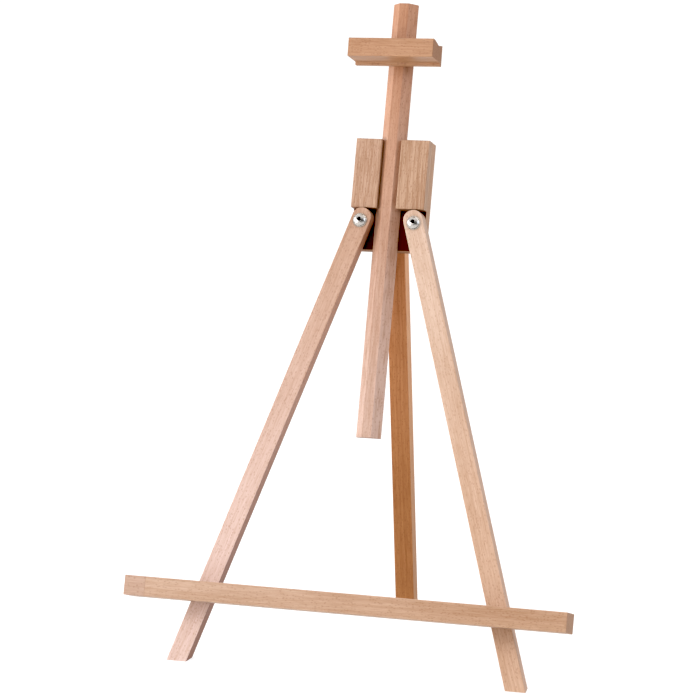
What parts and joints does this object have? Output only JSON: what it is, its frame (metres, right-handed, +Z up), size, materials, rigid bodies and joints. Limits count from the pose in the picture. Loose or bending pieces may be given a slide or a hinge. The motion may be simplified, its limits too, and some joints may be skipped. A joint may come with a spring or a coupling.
{
  "type": "easel",
  "caption": "Folding tabletop easel: splayed front legs, a hinged rear leg, a sliding mast with a swivelling canvas holder, and a ledge across the front.",
  "frame": {"origin": "on the table, in the middle of the space that the standing easel takes up", "axes": "+Z up, -Y towards the viewer that the ledge faces, +X to that viewer's right"},
  "size_m": [0.455, 0.2553, 0.6386],
  "materials": {
    "beech_leg": "planed and sanded, oiled satin",
    "beech_rear_leg": "planed and sanded, oiled satin",
    "beech_mast": "planed and sanded, oiled satin",
    "beech_ledge": "planed and sanded, oiled satin",
    "beech_holder": "planed and sanded, oiled satin",
    "beech_block": "planed and sanded, oiled satin",
    "beech_plate": "planed and sanded, oiled satin",
    "nickel_steel": "bright nickel plate",
    "zinc_screw": "zinc plate",
    "insert_brass": "turned",
    "hinge_brass": "brass plate, satin"
  },
  "bodies": {
    "head": {"head_plate": "beech_plate", "left_head_block": "beech_block", "right_head_block": "beech_block", "head_block_screws": "zinc_screw", "mast_lock_insert": "insert_brass", "left_pivot_bolt": "nickel_steel", "right_pivot_bolt": "nickel_steel", "left_pivot_front_washer": "nickel_steel", "right_pivot_front_washer": "nickel_steel", "left_pivot_spacer_washer": "nickel_steel", "right_pivot_spacer_washer": "nickel_steel", "left_pivot_nut": "nickel_steel", "right_pivot_nut": "nickel_steel", "hinge_leaf_on_head": "hinge_brass", "hinge_screws_in_head": "zinc_screw", "hinge_pin": "hinge_brass"},
    "mast": {"mast": "beech_mast"},
    "holder": {"canvas_holder": "beech_holder", "holder_screw": "zinc_screw"},
    "left_front_leg": {"left_leg": "beech_leg", "left_ledge_washer": "nickel_steel"},
    "right_front_leg": {"right_leg": "beech_leg", "right_ledge_washer": "nickel_steel"},
    "ledge": {"canvas_ledge": "beech_ledge", "left_ledge_insert": "insert_brass", "right_ledge_insert": "insert_brass"},
    "rear_support": {"rear_leg": "beech_rear_leg", "hinge_leaf_on_rear_leg": "hinge_brass", "hinge_screws_in_rear_leg": "zinc_screw"},
    "mast_lock": {"mast_lock_wing_bolt": "nickel_steel"},
    "left_ledge_bolt": {"left_ledge_wing_bolt": "nickel_steel"},
    "right_ledge_bolt": {"right_ledge_wing_bolt": "nickel_steel"}
  },
  "joints": [
    {"name": "mast_slide", "type": "slide", "parent": "head", "child": "mast", "axis": [-0.0079, 0.342, 0.9397], "range_m": [-0.073, 0.19]},
    {"name": "holder_swivel", "type": "hinge", "parent": "mast", "child": "holder", "pos_m": [-0.00434, 0.09997, 0.58743], "axis": [0, 0.9397, -0.342], "range_deg": [-180, 180]},
    {"name": "left_leg_fold", "type": "hinge", "parent": "head", "child": "left_front_leg", "pos_m": [-0.028, 0.04347, 0.42648], "axis": [0, -0.9397, 0.342], "range_deg": [0, 17.9]},
    {"name": "right_leg_fold", "type": "hinge", "parent": "head", "child": "right_front_leg", "pos_m": [0.028, 0.04347, 0.42648], "axis": [0, 0.9397, -0.342], "range_deg": [0, 17.9]},
    {"name": "ledge_fold", "type": "hinge", "parent": "left_front_leg", "child": "ledge", "pos_m": [-0.15264, -0.09509, 0.06625], "axis": [0, -0.9397, 0.342], "range_deg": [0, 72.1]},
    {"name": "rear_leg_fold", "type": "hinge", "parent": "head", "child": "rear_support", "pos_m": [0, 0.06346, 0.40992], "axis": [-1, 0, 0], "range_deg": [0, 25]},
    {"name": "mast_lock_turn", "type": "hinge", "parent": "head", "child": "mast_lock", "pos_m": [-0.00349, 0.08559, 0.47774], "axis": [0, 0.9397, -0.342], "range_deg": [0, 360]},
    {"name": "left_ledge_bolt_turn", "type": "hinge", "parent": "ledge", "child": "left_ledge_bolt", "pos_m": [-0.15264, -0.08852, 0.06385], "axis": [0, 0.9397, -0.342], "range_deg": [0, 360]},
    {"name": "right_ledge_bolt_turn", "type": "hinge", "parent": "right_front_leg", "child": "right_ledge_bolt", "pos_m": [0.15264, -0.08852, 0.06385], "axis": [0, 0.9397, -0.342], "range_deg": [0, 360]}
  ]
}
